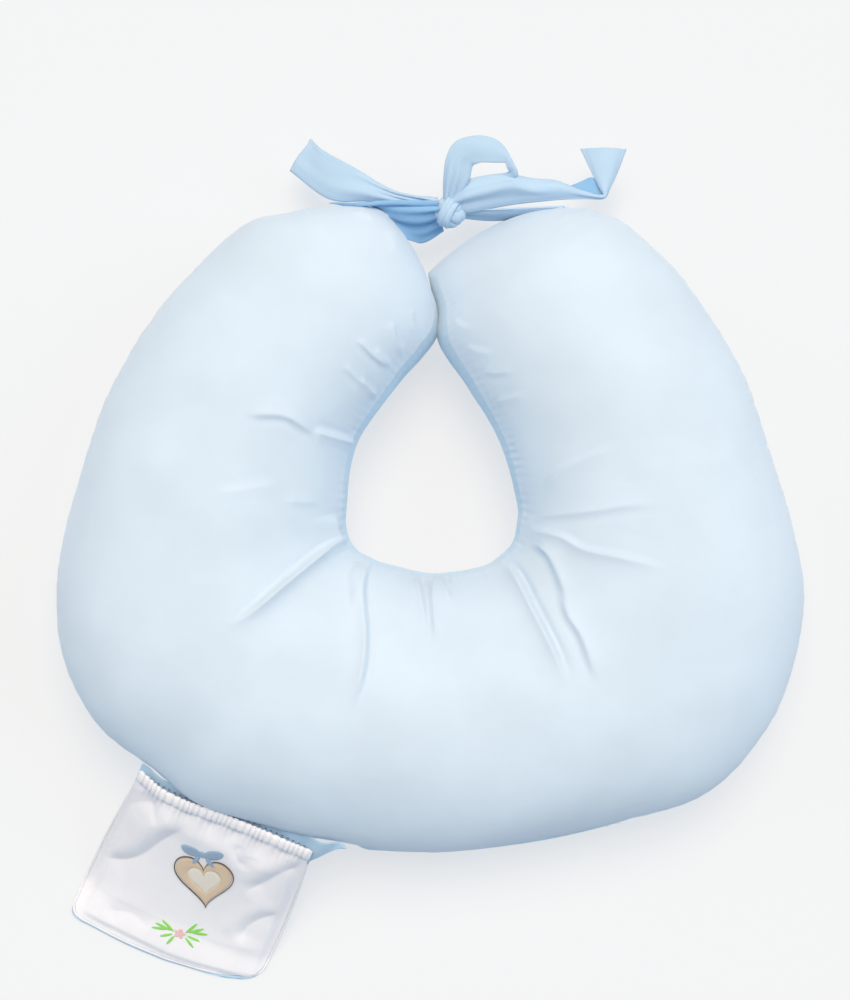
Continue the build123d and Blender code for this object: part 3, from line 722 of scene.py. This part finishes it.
# Folds in the pouch's front, as in CREASES.
POUCH_FOLDS = [
    ([(-90, -90), (-68, -84), (-50, -66), (-35, -33), (-18, -4)], 7.0, 7.0, 0.9, 1),
    ([(78, 0), (61, -18), (50, -37), (38, -56)], 6.0, 6.0, 1.0, -1),
    ([(50, -108), (56, -82), (76, -62)], 5.0, 6.0, 0.8, 1),
    ([(26, -6), (20, -16), (35, -30)], 3.0, 4.0, 0.8, -1),
    ([(-66, 6), (-56, -8), (-46, -26)], 4.0, 5.0, 0.8, 1),
    ([(-76, -24), (-66, -12), (-52, -2)], 3.0, 5.0, 0.8, 1),
    ([(-62, -134), (-40, -124), (-18, -130)], 2.5, 7.0, 0.8, 1),
]


GATHER_PITCH = 4.7


def gathering(x):
    """The mouth's gathers: rounded ridges, 1 at the top, with sharp valleys between them."""
    drift = 0.9 * np.sin(x * 0.21) + 0.5 * np.sin(x * 0.083)
    return np.abs(np.sin(x * math.pi / GATHER_PITCH + drift)) ** 0.75


def front_height(x, y):
    """How far the pouch's front stands off its flat plane: puffed out, with ripples below the
    mouth, folds, and sides that are sewn down."""
    down = -y
    s = x / pouch_half_width(np.maximum(down, 0))
    edge = np.clip(1 - np.abs(s), 0, 1)
    drop = pouch_drop(np.clip(s, -1, 1))
    tail = np.clip((drop - down) / drop, 0, 1)
    puff = POUCH_PUFF * np.minimum(1, edge * 3.2) ** 0.6 * np.minimum(1, tail * 4) ** 0.6
    puff = puff * (0.3 + 0.7 * smooth((down + 4) / 26))
    below = np.maximum(down + band_line(x), 0)
    ripple = RIPPLE * (gathering(x) - 0.6) * np.exp(-np.maximum(below - 6, 0) / 7)
    longer = LONG_RIPPLE * np.sin(x * 2 * math.pi / LONG_PITCH + 0.6)
    longer = longer * np.exp(-np.maximum(below - 8, 0) / 24)
    height = 1.0 + puff + (ripple + longer) * np.minimum(1, edge * 6)
    plan = np.stack([x, y], axis=-1)
    for line, depth, width, roll, roll_side in POUCH_FOLDS:
        distance, side, share = polyline_distance(plan, line)
        fade = smooth(share / 0.25) * smooth((1 - share) / 0.3)
        height = height + fade * fold(distance, side * roll_side, depth * 0.6, width, roll)
    sides = smooth(edge * 9) * smooth(tail * 14)
    return 0.6 + (np.maximum(height, 1.0) - 0.6) * sides


def front_point(x, y, off=0.0):
    """A point on the pouch's front, or off it."""
    x, y = np.asarray(x, float), np.asarray(y, float)
    return on_pouch(x, y, front_height(x, y) + off)


s, t = np.meshgrid(np.linspace(-1, 1, 220), np.linspace(0, 1, 130), indexing="xy")
x, y = pouch_plan(s, t)
y = y + band_line(x) * (1 - smooth(t / 0.4))
pouch_front = grid_piece("pouch_front", front_point(x, y), flip=True)
thicken(pouch_front, 0.9)
finish(pouch_front, pouch_white)
swing_with(pouch_front)
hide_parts("pouch_front_panel")

# The back reaches up behind the band to the cover, with a loose crumpled ear at the right.
TOP_SHARE = 0.14
EAR_REACH, EAR_CRUMPLE = 23, 3.4
s, t = np.meshgrid(np.linspace(-1, 1, 140), np.linspace(-TOP_SHARE, 1, 120), indexing="xy")
x, y = pouch_plan(s, np.maximum(t, 0), grow=1.5)
y = y - 3.0 * smooth((t - 0.8) / 0.2)
up_share = np.clip(-t / TOP_SHARE, 0, 1)
pull = smooth((s - 0.6) / 0.4) * up_share**1.3
y = np.where(t < 0, seam_line(x) * up_share, y) + 5 * pull
crumple = EAR_CRUMPLE * np.sin(x / 2.9 + y / 6) * (0.15 + pull) * smooth((up_share - 0.1) / 0.4)
x = x + EAR_REACH * pull
sag = 0.7 * np.sin(x / 11.0) * np.sin(y / 17.0) - 0.3
pouch_back = grid_piece("pouch_back", on_pouch(x, y, crumple + sag - 0.6 + 2.5 * pull), flip=True)
thicken(pouch_back, 0.8)
finish(pouch_back, pouch_blue)
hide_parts("pouch_back_panel")
swing_with(pouch_back)

# The mouth band: a gathered tube of cloth over the elastic.
half = MOUTH_WIDTH / 2 + 1
lengths, turns = np.linspace(-half, half, 460), np.linspace(0, 2 * math.pi, 25)
along, turn = np.meshgrid(lengths, turns, indexing="ij")
gather = gathering(along)
ends = smooth((half - np.abs(along)) / 5) * 0.6 + 0.4
band_z = 3.2 + 2.0 * smooth((MOUTH_WIDTH / 2 - np.abs(along)) / 22)
up = BAND_HALF_HEIGHT * np.cos(turn) * (0.84 + 0.16 * gather)
off = BAND_HALF_DEPTH * np.sin(turn) * (0.42 + 0.58 * gather) * ends
mouth_band = grid_piece("mouth_band", on_pouch(along, band_line(along) + up, band_z + off))
finish(mouth_band, pouch_white)
swing_with(mouth_band)
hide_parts("pouch_mouth_band")

# The elastic inside it, a flat strip.
turns = np.linspace(0, 2 * math.pi, 13)
along, turn = np.meshgrid(np.linspace(-72, 72, 60), turns, indexing="ij")
strip = on_pouch(along, band_line(along) + 3.0 * np.cos(turn), 4.6 + 0.4 * np.sin(turn))
elastic = grid_piece("mouth_elastic", strip)
finish(elastic, elastic_cloth)
swing_with(elastic)
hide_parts("pouch_elastic")

# The bound edge round the other three sides, a narrow roll.
SIDE_POINTS = 80
side_run = np.linspace(0.0, 1, SIDE_POINTS)
left_x, left_y = pouch_plan(np.full(SIDE_POINTS, -1.0), side_run, grow=1.0)
right_x, right_y = pouch_plan(np.full(SIDE_POINTS, 1.0), side_run[::-1], grow=1.0)
end_run = np.linspace(-1, 1, SIDE_POINTS + 2)[1:-1]
end_x, end_y = pouch_plan(end_run, np.ones(SIDE_POINTS), grow=1.0)
edge_x = np.concatenate([left_x, end_x, right_x])
edge_y = np.concatenate([left_y, end_y, right_y])
step_x, step_y = np.gradient(edge_x), np.gradient(edge_y)
size = np.maximum(np.hypot(step_x, step_y), 1e-6)
out_x, out_y = step_y / size, -step_x / size
ring = []
for turn in np.linspace(0, 2 * math.pi, 13):
    out, off = EDGE_RADII[0] * math.cos(turn), EDGE_RADII[1] * math.sin(turn)
    ring.append(on_pouch(edge_x + out_x * out, edge_y + out_y * out, off))
edge_roll = grid_piece("pouch_edge", np.stack(ring, axis=1))
finish(edge_roll, pouch_white)
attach(edge_roll, "pouch")
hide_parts("pouch_edge_binding")


# -------- the embroidery
RINGS_ACROSS = 7
SUNK = -0.4  # the edges of the stitching go into the cloth


def stitch_height(share, open_middle, thick):
    """Height of the stitching off the cloth, at a share of the way from its inner outline."""
    if share == 1 or (share == 0 and open_middle):
        return SUNK
    if open_middle:
        return 0.25 + thick * (1 - (2 * share - 1) ** 6)
    return 0.25 + thick * (1 - share**6)


def worked(name, node, thread, colour, outlines, thick=1.0):
    """Filled shapes worked on the pouch's front, each from an inner to an outer closed outline."""
    points, faces, uvs = [], [], []
    for inside, outside in outlines:
        base, count = len(points), len(outside)
        open_middle = np.ptp(inside[:, 0]) > 0.2
        for k in range(RINGS_ACROSS + 1):
            share = k / RINGS_ACROSS
            loop = inside + (outside - inside) * share
            lift = stitch_height(share, open_middle, thick)
            points.extend(front_point(loop[:, 0], loop[:, 1], lift))
            uvs.extend(loop)
        for k in range(RINGS_ACROSS):
            for j in range(count):
                a, b = base + k * count + j, base + k * count + (j + 1) % count
                faces.append([a, a + count, b + count, b])
    piece = mesh_from(name, np.array(points), faces, np.array(uvs))
    finish(piece, stitched(thread, colour))
    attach(piece, "pouch")
    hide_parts(node)


MOTIF, SPRIGS = np.array((6.5, -61.0)), np.array((3.0, -117.0))
MOTIF_LEAN = math.radians(20)


def placed(outline, at):
    """An outline drawn upright, leant and moved to its place on the pouch."""
    return turned(outline, MOTIF_LEAN) + at


def filled(outline):
    """A shape filled in from its middle."""
    return np.zeros_like(outline) + outline.mean(axis=0), outline


def heart(size):
    """A heart's outline, in its place."""
    a = np.linspace(0, 2 * math.pi, 120, endpoint=False)
    x = 16 * np.sin(a) ** 3
    y = 13 * np.cos(a) - 5 * np.cos(2 * a) - 2 * np.cos(3 * a) - np.cos(4 * a)
    return placed(np.stack([x, y + 2], axis=1) * size / 34 * (1, 1.12), MOTIF)


def oval(at, half_length, half_width, lean=0.0):
    """An oval outline about a place, with its length turned from X."""
    a = np.linspace(0, 2 * math.pi, 28, endpoint=False)
    outline = np.stack([half_length * np.cos(a), half_width * np.sin(a)], axis=1)
    return turned(outline, lean) + at


worked("heart_tan", "motif_heart", "thread_tan", (0.80, 0.63, 0.46), [(heart(27), heart(53))])
worked("heart_cream", "motif_heart_centre", "thread_cream", (0.90, 0.86, 0.78), [filled(heart(33))])
rim = [(heart(52.4), heart(54.8))]
worked("heart_rim", "motif_outline", "thread_brown", (0.085, 0.05, 0.035), rim, thick=1.2)

# A bow above the heart: two loops, two ends and a knot.
bow = []
for at, half_length, half_width, lean in (
    ((-10, 32), 9.5, 5.6, -0.35),
    ((10, 32), 9.5, 5.6, 0.35),
    ((-6, 23), 7.0, 2.4, 1.0),
    ((6, 23), 7.0, 2.4, -1.0),
    ((0, 30), 3.2, 3.8, 0.0),
):
    bow.append(filled(placed(oval(at, half_length, half_width, lean), MOTIF)))
worked("bow", "motif_bow", "thread_slate", (0.30, 0.46, 0.67), bow, thick=1.4)

# Two sprigs, each of three leaves that rise and two that droop, with a flower between them.
LEAF = 8.0
leaves = []
for side in (-1, 1):
    for k in range(3):
        rise = 0.75 + 0.42 * k
        stem = np.array((side * (4.5 + 2.2 * k), -3.5 + 1.0 * k))
        reach = LEAF * np.array((side * math.sin(rise), math.cos(rise)))
        leaf = oval(stem + reach, LEAF, 1.5, math.atan2(reach[1], reach[0]))
        leaves.append(filled(placed(leaf, SPRIGS)))
    for at, droop in (((side * 11.5, -7.5), 0.35), ((side * 8.0, -12.0), 0.95)):
        leaves.append(filled(placed(oval(at, 6.5, 1.4, -droop * side), SPRIGS)))
worked("sprigs", "motif_sprigs", "thread_green", (0.30, 0.78, 0.14), leaves, thick=0.8)
flower = []
for a in np.linspace(0, 5.03, 5):
    flower.append(oval((3.0 * math.cos(a), 3.0 * math.sin(a) - 4), 2.6, 2.0, a))
flower.append(oval((0, -4), 1.7, 1.7))
flower = [filled(placed(part, SPRIGS)) for part in flower]
worked("flower", "motif_flower", "thread_pink", (0.90, 0.62, 0.64), flower, thick=1.1)


# -------- the ties
TIE_THICKNESS = 1.3


def ribbon(name, node, rows, pleats=(), count=90, width=26, material=tie_cloth):
    """A strip of doubled cloth through rows of points, with pleats: share along, spread, cycles
    across, depth and phase."""
    rows = np.array(rows, float)
    across = np.stack([spline(row, width) for row in rows], axis=0)
    grid = np.stack([spline(across[:, k], count) for k in range(width)], axis=1)
    normal = grid_normals(grid)
    u = np.linspace(0, 1, count)[:, None]
    v = np.linspace(0, 1, width)[None, :]
    push = np.zeros((count, width))
    for at, spread, cycles, depth, phase in pleats:
        push += depth * hump(u - at, spread) * np.sin(2 * math.pi * (cycles * v + phase + 0.2 * u))
    hem = 0.35 * (hump(v - 0.09, 0.02) + hump(v - 0.91, 0.02))
    piece = grid_piece(name, grid + normal * (push - hem)[..., None])
    thicken(piece, TIE_THICKNESS)
    finish(piece, material)
    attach(piece, "pillow")
    if node:
        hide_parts(node)


# The whole left strap is in the deeper blue cloth, painted shade for its shaded lower side.
ribbon("left_strap", "left_tie_strap", [
    [(-80, 284, 68), (-60, 283, 68), (-44, 281, 67), (-33, 274, 66), (-26, 266, 62), (-19, 256, 56)],
    [(-50, 284, 74), (-38, 282, 76), (-26, 277, 74), (-18, 270, 66), (-13, 263, 57), (-9, 255, 47)],
    [(-20, 284, 77), (-14, 281, 80), (-8, 276, 76), (-4, 270, 66), (-2, 264, 56), (0, 258, 46)],
    [(6, 285, 76), (7, 281, 78), (8, 278, 76), (9, 274, 68), (10, 270, 58), (11, 265, 50)],
], pleats=[(1.0, 0.7, 4.4, 2.1, 0.1), (0.4, 0.4, 2.3, 1.7, 0.5)], width=40,
   material=painted_shade_strap_cloth)
ribbon("left_tail", "left_tie_tail", [
    [(8, 279, 66), (8, 281, 69), (8, 283, 71), (7, 285, 73), (6, 287, 74)],
    [(-22, 284, 66), (-23, 286, 69), (-25, 289, 69), (-27, 292, 70), (-29, 295, 67)],
    [(-50, 286, 62), (-52, 292, 65), (-54, 299, 64), (-57, 306, 64), (-60, 313, 61)],
    [(-81, 289, 54), (-81, 298, 57), (-82, 306, 57), (-84, 317, 56), (-85, 328, 53)],
    [(-113, 313, 42), (-109, 320, 45), (-105, 326, 45), (-100, 332, 45), (-96, 339, 42)],
], pleats=[(0.0, 0.3, 3.4, 1.5, 0.0), (0.55, 0.18, 1.3, 0.8, 0.2)])
ribbon("right_strap", "right_tie_strap", [
    [(24, 274, 56), (24, 276, 63), (24, 279, 70), (24, 281, 74)],
    [(48, 272, 54), (48, 274, 63), (49, 277, 71), (50, 279, 74)],
    [(76, 273, 54), (76, 275, 62), (77, 278, 70), (78, 280, 73)],
    [(108, 277, 52), (108, 279, 60), (108, 280, 68), (108, 281, 72)],
], pleats=[(0.0, 0.4, 2.2, 1.0, 0.0)])
ribbon("right_tail", "right_tie_tail", [
    [(22, 277, 70), (21, 281, 76), (20, 284, 79), (18, 288, 78), (17, 292, 74)],
    [(33, 277, 72), (32, 282, 79), (30, 288, 84), (28, 294, 82), (26, 299, 76)],
    [(48, 280, 73), (47, 285, 80), (46, 292, 86), (45, 298, 83), (44, 304, 76)],
    [(66, 283, 72), (66, 288, 78), (65, 296, 85), (64, 301, 82), (63, 306, 76)],
    [(84, 285, 71), (84, 289, 76), (83, 293, 80), (83, 298, 79), (82, 303, 74)],
    [(104, 287, 68), (104, 290, 72), (104, 294, 74), (103, 298, 74), (102, 302, 69)],
    [(124, 288, 63), (124, 290, 65), (124, 291, 66), (123, 293, 66), (122, 295, 64)],
    [(140, 289, 58), (140, 290, 60), (140, 290, 61), (139, 291, 61), (139, 291, 60)],
    [(145, 297, 57), (143, 297, 60), (141, 297, 61), (139, 297, 61), (137, 297, 59)],
    [(152, 312, 52), (147, 312, 57), (141, 312, 58), (135, 312, 57), (130, 312, 54)],
    [(159, 330, 47), (150, 330, 53), (140, 330, 55), (131, 330, 53), (122, 330, 49)],
], pleats=[(0.1, 0.22, 2.2, 1.2, 0.1), (0.55, 0.12, 1.2, 0.7, 0.4)], count=190)
ribbon("right_loop", "right_tie_loop", [
    [(11, 284, 74), (14, 284, 76), (18, 284, 76), (22, 284, 73)],
    [(11, 302, 82), (17, 303, 85), (24, 301, 85), (31, 299, 83)],
    [(13, 318, 87), (20, 317, 89), (27, 314, 89), (34, 311, 87)],
    [(20, 330, 89), (26, 325, 91), (32, 319, 91), (37, 313, 89)],
    [(34, 335, 90), (37, 328, 92), (40, 321, 92), (42, 314, 90)],
    [(48, 334, 89), (50, 327, 91), (51, 321, 91), (52, 314, 89)],
    [(58, 328, 87), (59, 323, 89), (60, 319, 89), (60, 314, 87)],
    [(66, 315, 84), (65, 314, 87), (63, 313, 87), (61, 311, 86)],
    [(70, 305, 81), (68, 306, 83), (66, 307, 83), (63, 308, 82)],
    [(60, 301, 77), (59, 303, 78), (58, 305, 78), (57, 306, 77)],
    [(40, 294, 72), (40, 297, 73), (39, 299, 73), (39, 301, 72)],
    [(21, 286, 69), (20, 288, 70), (20, 290, 70), (19, 291, 69)],
], pleats=[(0.0, 0.16, 3.2, 1.1, 0.0), (0.35, 0.05, 1.0, 0.5, 0.3)], count=190)

# The right tail turned back behind its end, in the deeper blue cloth as painted shade.
ribbon("right_fold", None, [
    [(110, 297, 63), (111, 296, 63), (112, 295, 63)],
    [(121, 302, 59), (123, 298, 60), (125, 293, 61)],
    [(130, 306, 56), (133, 299, 57), (136, 292, 58)],
    [(135, 303, 53), (138, 297, 54), (140, 290, 56)],
], count=40, material=painted_shade_strap_cloth)

# The knot: the wraps of both ties drawn tight, worked on a rounded body.
KNOT = np.array((16.0, 277.0, 70.0))
rounds, downs = np.linspace(0, 2 * math.pi, 97), np.linspace(0.02, math.pi - 0.02, 64)
u, v = np.meshgrid(rounds, downs, indexing="ij")
coarse = 1.6 * np.abs(np.sin(2.0 * u + 2.2 * np.cos(v) + 0.5)) ** 0.5
fine = 0.6 * np.abs(np.sin(4 * u + 3 * v)) ** 0.6
wraps = (coarse + fine) * np.sin(v) ** 0.7
body = np.stack([
    (10.6 + 1.5 * wraps) * np.sin(v) * np.cos(u),
    (9.4 + 1.5 * wraps) * np.sin(v) * np.sin(u),
    (10.0 + 1.0 * wraps) * np.cos(v),
], axis=2)
knot = grid_piece("knot", turned(body, math.radians(-32)) + KNOT)
finish_padded(knot, tie_cloth, "tie_knot")

# One more wrap that goes over it.
angles = np.linspace(-0.15 * math.pi, 1.15 * math.pi, 70)
a, b = np.meshgrid(angles, np.linspace(-1, 1, 16), indexing="ij")
reach = 12.6 + 0.5 * np.sin(b * 7 + 0.8 * np.sin(a * 2)) - 1.2 * b * b
strip = np.stack([reach * np.cos(a), 5.2 * b + 1.5 * np.sin(a), reach * 0.98 * np.sin(a)], axis=2)
wrap_band = grid_piece("knot_wrap", turned(strip, math.radians(62)) + KNOT)
thicken(wrap_band, TIE_THICKNESS)
finish(wrap_band, tie_cloth)
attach(wrap_band, "pillow")

# Stitches where the pouch's mouth is sewn to the cover: short rods with rounded ends.
STITCHES, STITCH_LENGTH, STITCH_RADIUS = 27, 2.2, 0.6
RINGS, SIDES = 7, 8
FIRST_STITCH, STITCHED_LENGTH = -58, 126
points, faces = [], []
for k in range(STITCHES):
    x_mid = FIRST_STITCH + STITCHED_LENGTH * k / (STITCHES - 1)
    centre = on_pouch(x_mid, band_line(x_mid) + 6.0, 3.0)
    base = len(points)
    for ring in range(RINGS):
        along = ring / (RINGS - 1) - 0.5
        radius = STITCH_RADIUS * math.sqrt(max(0.05, 1 - (2 * along) ** 2))
        for step in range(SIDES):
            turn = 2 * math.pi * step / SIDES
            off = UP_SLOPE * math.cos(turn) + NORMAL * math.sin(turn)
            points.append(centre + MOUTH * along * STITCH_LENGTH + off * radius)
    for ring in range(RINGS - 1):
        for step in range(SIDES):
            here = base + ring * SIDES + step
            beside = base + ring * SIDES + (step + 1) % SIDES
            faces.append([here, beside, beside + SIDES, here + SIDES])
    faces.append([base + step for step in reversed(range(SIDES))])
    faces.append([base + (RINGS - 1) * SIDES + step for step in range(SIDES)])
stitches = mesh_from("pouch_stitches", np.array(points), faces)
finish(stitches, cloth("stitch_thread", (0.09, 0.20, 0.45), thread=0.3))
swing_with(stitches)

# -------- floor, light and camera
bpy.ops.mesh.primitive_plane_add(size=40, location=(0, 0, -0.0008))  # just clear of the pillow
floor = bpy.context.object
floor.name = "floor"
paper, nodes, _ = new_material("paper")
shade = nodes["Principled BSDF"]
put(shade, Base_Color=(0.235, 0.25, 0.27, 1), Roughness=0.9, Specular_IOR_Level=0.0)
put(shade, Emission_Color=(1, 1, 1, 1), Emission_Strength=0.61)
floor.data.materials.append(paper)

world = bpy.data.worlds.new("studio")
bpy.context.scene.world = world
world.use_nodes = True
put(world.node_tree.nodes["Background"], Color=(0.54, 0.78, 1.0, 1), Strength=0.43)


def sun(name, direction, strength, degrees, colour):
    """A sun that shines from a direction, as wide as the given degrees."""
    light = bpy.data.lights.new(name, "SUN")
    light.energy = strength
    light.angle = math.radians(degrees)
    light.color = colour
    lamp = bpy.data.objects.new(name, light)
    lamp.rotation_mode = "QUATERNION"
    lamp.rotation_quaternion = Vector(direction).normalized().to_track_quat("Z", "Y")
    bpy.context.scene.collection.objects.link(lamp)


SIDE_BLUE = (0.66, 0.85, 1.0)
sun("key", direction=(0.02, 0.40, 1.0), strength=2.88, degrees=34, colour=(1.0, 0.76, 0.51))
sun("left_side", direction=(-0.9, 0.25, 0.8), strength=0.50, degrees=40, colour=SIDE_BLUE)
sun("right_side", direction=(0.9, 0.25, 0.8), strength=0.82, degrees=40, colour=SIDE_BLUE)

# The camera looks straight down, and the longer side of its picture takes in VIEW_ACROSS at the
# height of VIEW_Z. Both are in metres.
VIEW_ACROSS, VIEW_Z, VIEW_CENTRE = 0.8, 0.07, (-0.0036, 0.0464)
camera_data = bpy.data.cameras.new("camera")
camera_data.lens = 100
camera = bpy.data.objects.new("camera", camera_data)
away = VIEW_ACROSS * camera_data.lens / camera_data.sensor_width
camera.location = (*VIEW_CENTRE, VIEW_Z + away)
bpy.context.scene.collection.objects.link(camera)
bpy.context.scene.camera = camera
bpy.context.scene.view_settings.view_transform = "Standard"
